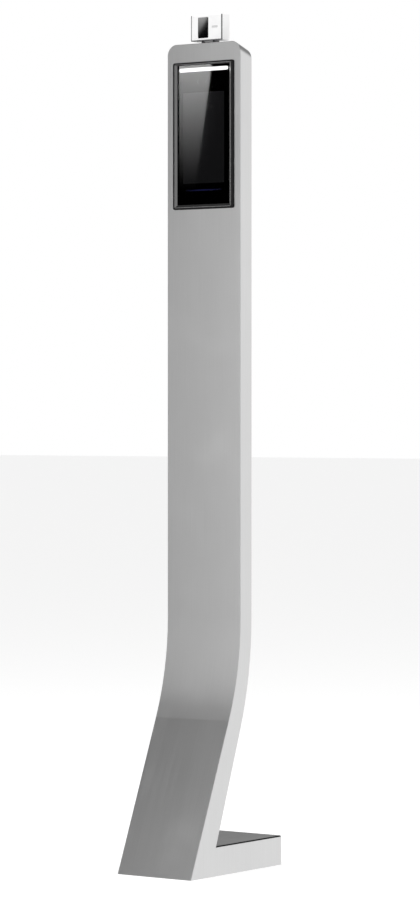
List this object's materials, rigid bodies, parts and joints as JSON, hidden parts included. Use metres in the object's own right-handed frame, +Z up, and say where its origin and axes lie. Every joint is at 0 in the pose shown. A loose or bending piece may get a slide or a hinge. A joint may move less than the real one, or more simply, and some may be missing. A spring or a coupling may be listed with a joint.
{
  "type": "face recognition terminal stand",
  "caption": "Slim floor-standing column bent forward into an L-shaped foot, with a flush face recognition screen near the top and a small tilting temperature sensor on its top edge.",
  "frame": {"origin": "centre of the foot footprint on the floor", "axes": "+X right seen from the front, front faces -Y, +Z up the column"},
  "size_m": [0.13, 0.2284, 1.2408],
  "materials": {
    "brushed_stainless": "long vertical brushed grain, satin",
    "cover_plate": "fine brushed, darker satin",
    "zinc_plate": "bright zinc plated, rolled",
    "fastener": "zinc plated screws and rivets",
    "black_rubber": "matt black moulded rubber",
    "bezel_metal": "satin anodised bevel",
    "black_glass": "polished, back-printed black",
    "display": "dark liquid crystal panel, off",
    "light_diffuser": "white light diffuser, lit",
    "status_blue": "blue light guide, lit",
    "lens": "coated lens",
    "black_plastic": "fine spark texture, black",
    "dark_plastic": "fine spark texture, dark grey",
    "white_plastic": "white moulded, semi-gloss",
    "sensor_window": "infrared window, black",
    "circuit_board": "green solder mask",
    "lock_chrome": "chromed lock",
    "red_plastic": "red button cap"
  },
  "bodies": {
    "stand": {"base_plate": "zinc_plate", "bracket_nuts": "fastener", "cable_grommet": "black_rubber", "camera_lenses": "lens", "camera_module": "black_plastic", "case_screws": "fastener", "column_gussets": "zinc_plate", "connector_block": "dark_plastic", "cover_glass": "black_glass", "cover_ledges": "zinc_plate", "cover_studs": "fastener", "display_panel": "display", "door_keeper": "zinc_plate", "foot_cover": "cover_plate", "foot_cover_seal": "black_rubber", "foot_rear_wall": "brushed_stainless", "front_panel": "brushed_stainless", "hinge_fixed_leaves": "brushed_stainless", "hinge_pins": "fastener", "hinge_rivets_fixed": "fastener", "junction_block": "dark_plastic", "light_bar": "light_diffuser", "loom_clips": "dark_plastic", "main_board": "circuit_board", "mounting_plate": "zinc_plate", "mounting_rails": "zinc_plate", "plate_screws": "fastener", "rear_panel": "brushed_stainless", "reset_switch": "dark_plastic", "sensor_cable": "white_plastic", "side_wall_left": "brushed_stainless", "side_wall_right": "brushed_stainless", "speaker": "dark_plastic", "status_light": "status_blue", "terminal_back_cover": "black_plastic", "terminal_bezel": "bezel_metal", "terminal_gasket": "black_rubber", "terminal_screws": "fastener", "tilt_bracket": "dark_plastic", "tilt_pin": "fastener", "tilt_washers": "fastener", "top_cap": "brushed_stainless", "wiring_loom": "black_plastic"},
    "door": {"service_door": "brushed_stainless", "hinge_door_leaves": "brushed_stainless", "hinge_rivets_door": "fastener", "lock_barrel": "lock_chrome", "lock_nut": "fastener"},
    "lock": {"lock_plug": "lock_chrome", "lock_cam": "zinc_plate", "lock_cam_screw": "fastener"},
    "reset": {"reset_button": "red_plastic"},
    "sensor_head": {"sensor_trim": "dark_plastic", "sensor_front_cover": "white_plastic", "sensor_window": "sensor_window", "sensor_shell": "white_plastic", "sensor_board": "circuit_board", "thermal_sensor": "fastener", "sensor_case_screws": "fastener"}
  },
  "joints": [
    {"name": "door_hinge", "type": "hinge", "parent": "stand", "child": "door", "pos_m": [-0.051, 0.04035, 1.0358], "axis": [0, 0, 1], "range_deg": [0, 110]},
    {"name": "lock_turn", "type": "hinge", "parent": "door", "child": "lock", "pos_m": [0.036, 0.03225, 0.9263], "axis": [0, -1, 0], "range_deg": [0, 90]},
    {"name": "reset_press", "type": "slide", "parent": "stand", "child": "reset", "axis": [0, -1, 0], "range_m": [0, 0.0008], "stiffness_N_per_m": 400},
    {"name": "sensor_tilt", "type": "hinge", "parent": "stand", "child": "sensor_head", "pos_m": [0, 0.0245, 1.2073], "axis": [1, 0, 0], "range_deg": [-12, 12]}
  ]
}
